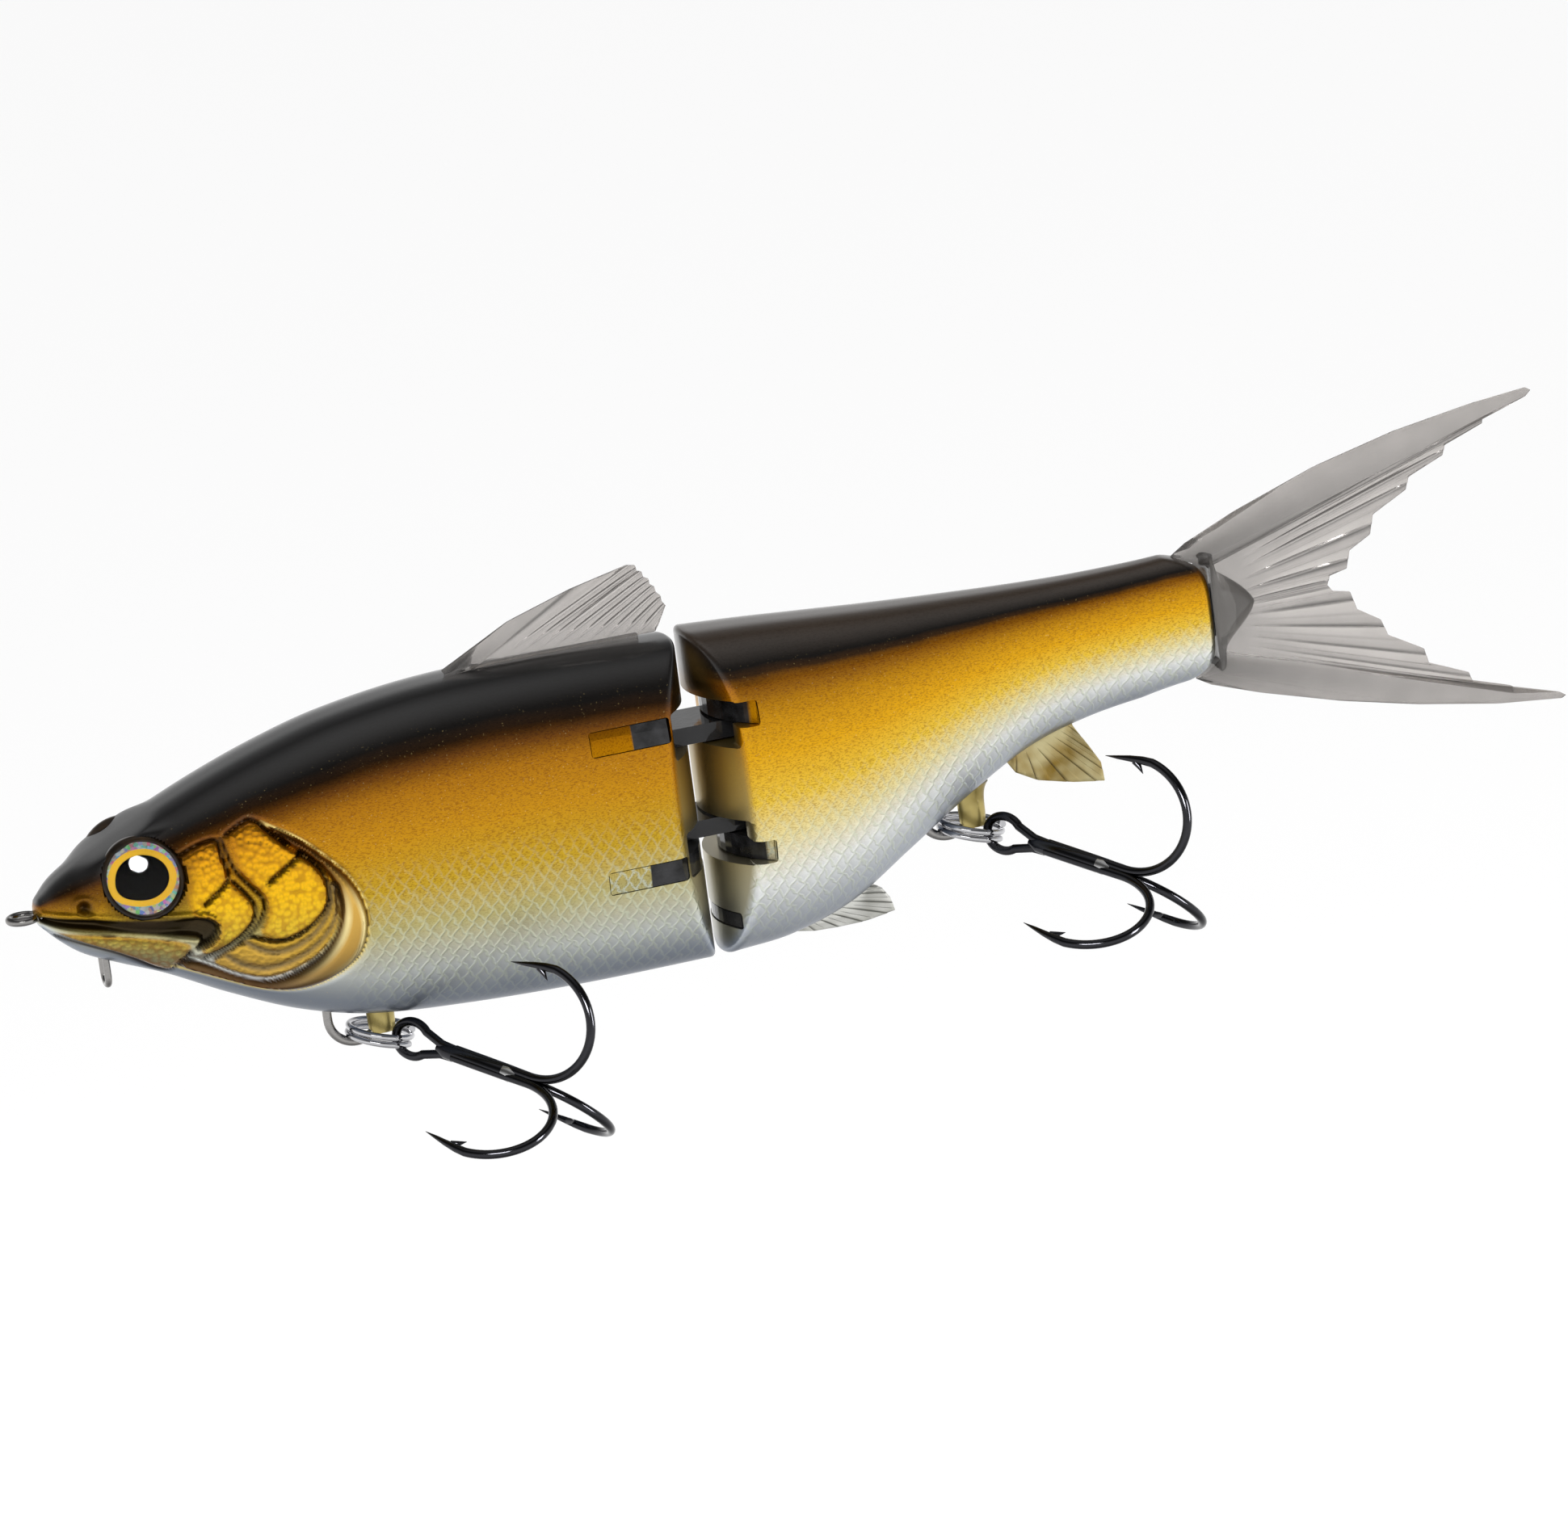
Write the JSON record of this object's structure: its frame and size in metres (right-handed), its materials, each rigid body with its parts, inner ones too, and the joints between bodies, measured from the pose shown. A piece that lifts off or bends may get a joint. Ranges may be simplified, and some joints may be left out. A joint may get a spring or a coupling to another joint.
{
  "type": "jointed swimbait",
  "caption": "Two-section jointed fishing lure shaped like a fish, with a soft forked tail, a nose line tie and treble hooks hung on split rings.",
  "frame": {"origin": "front of the nose line tie, on the upper flat of its wire, midway between the flanks", "axes": "+X from the nose to the tail, +Y towards the lure's right flank, +Z towards its back, along the hinge pins"},
  "size_m": [0.1966, 0.0399, 0.0665],
  "materials": {
    "body": "metallic paint under gloss",
    "smoke": "translucent smoke",
    "fin": "translucent smoke, soft",
    "silver_fin": "painted silver and gold",
    "steel": "bright wire",
    "ring": "polished",
    "hook": "black nickel",
    "lens": "clear dome",
    "iris": "holographic foil",
    "weight": "dull"
  },
  "bodies": {
    "front": {"front_body_left": "body", "front_body_right": "body", "line_tie": "steel", "chin_eye": "steel", "belly_hanger": "steel", "dorsal_fin": "fin", "left_eye_lens": "lens", "right_eye_lens": "lens", "left_iris": "iris", "right_iris": "iris", "front_ballast": "weight", "front_hinge_pin": "steel", "front_upper_insert": "smoke", "front_lower_insert": "smoke"},
    "links": {"upper_link": "smoke", "lower_link": "smoke"},
    "rear": {"rear_body_left": "body", "rear_body_right": "body", "rear_hanger": "steel", "pelvic_fin": "silver_fin", "anal_fin": "silver_fin", "rear_ballast": "weight", "rear_hinge_pin": "steel", "rear_upper_insert": "smoke", "rear_lower_insert": "smoke", "lower_bumper": "smoke", "tail_pin": "steel"},
    "tail": {"tail_fin": "fin"},
    "belly_ring": {"belly_split_ring": "ring"},
    "belly_hook": {"belly_treble_hook": "hook"},
    "rear_ring": {"rear_split_ring": "ring"},
    "rear_hook": {"rear_treble_hook": "hook"}
  },
  "joints": [
    {"name": "front_link_yaw", "type": "hinge", "parent": "front", "child": "links", "pos_m": [0.0769, 0, 0.00014], "axis": [0, 0, 1], "range_deg": [-18, 18]},
    {"name": "rear_link_yaw", "type": "hinge", "parent": "links", "child": "rear", "pos_m": [0.0939, 0, 0.00014], "axis": [0, 0, 1], "range_deg": [-18, 18]},
    {"name": "tail_flex", "type": "hinge", "parent": "rear", "child": "tail", "pos_m": [0.1469, 0, 0.00874], "axis": [0, 0, 1], "range_deg": [-12, 12], "stiffness_Nm_per_rad": 0.004},
    {"name": "belly_ring_swing", "type": "hinge", "parent": "front", "child": "belly_ring", "pos_m": [0.0398, 0, -0.02036], "axis": [0, 1, 0], "range_deg": [-6, 55]},
    {"name": "belly_hook_yaw", "type": "hinge", "parent": "belly_ring", "child": "belly_hook", "pos_m": [0.04275, 0, -0.02296], "axis": [0.2588, 0, 0.9659], "range_deg": [-35, 12]},
    {"name": "rear_ring_swing", "type": "hinge", "parent": "rear", "child": "rear_ring", "pos_m": [0.1163, 0, -0.00966], "axis": [0, 1, 0], "range_deg": [-6, 18]},
    {"name": "rear_hook_yaw", "type": "hinge", "parent": "rear_ring", "child": "rear_hook", "pos_m": [0.11925, 0, -0.01226], "axis": [0.2588, 0, 0.9659], "range_deg": [-35, 12]}
  ]
}
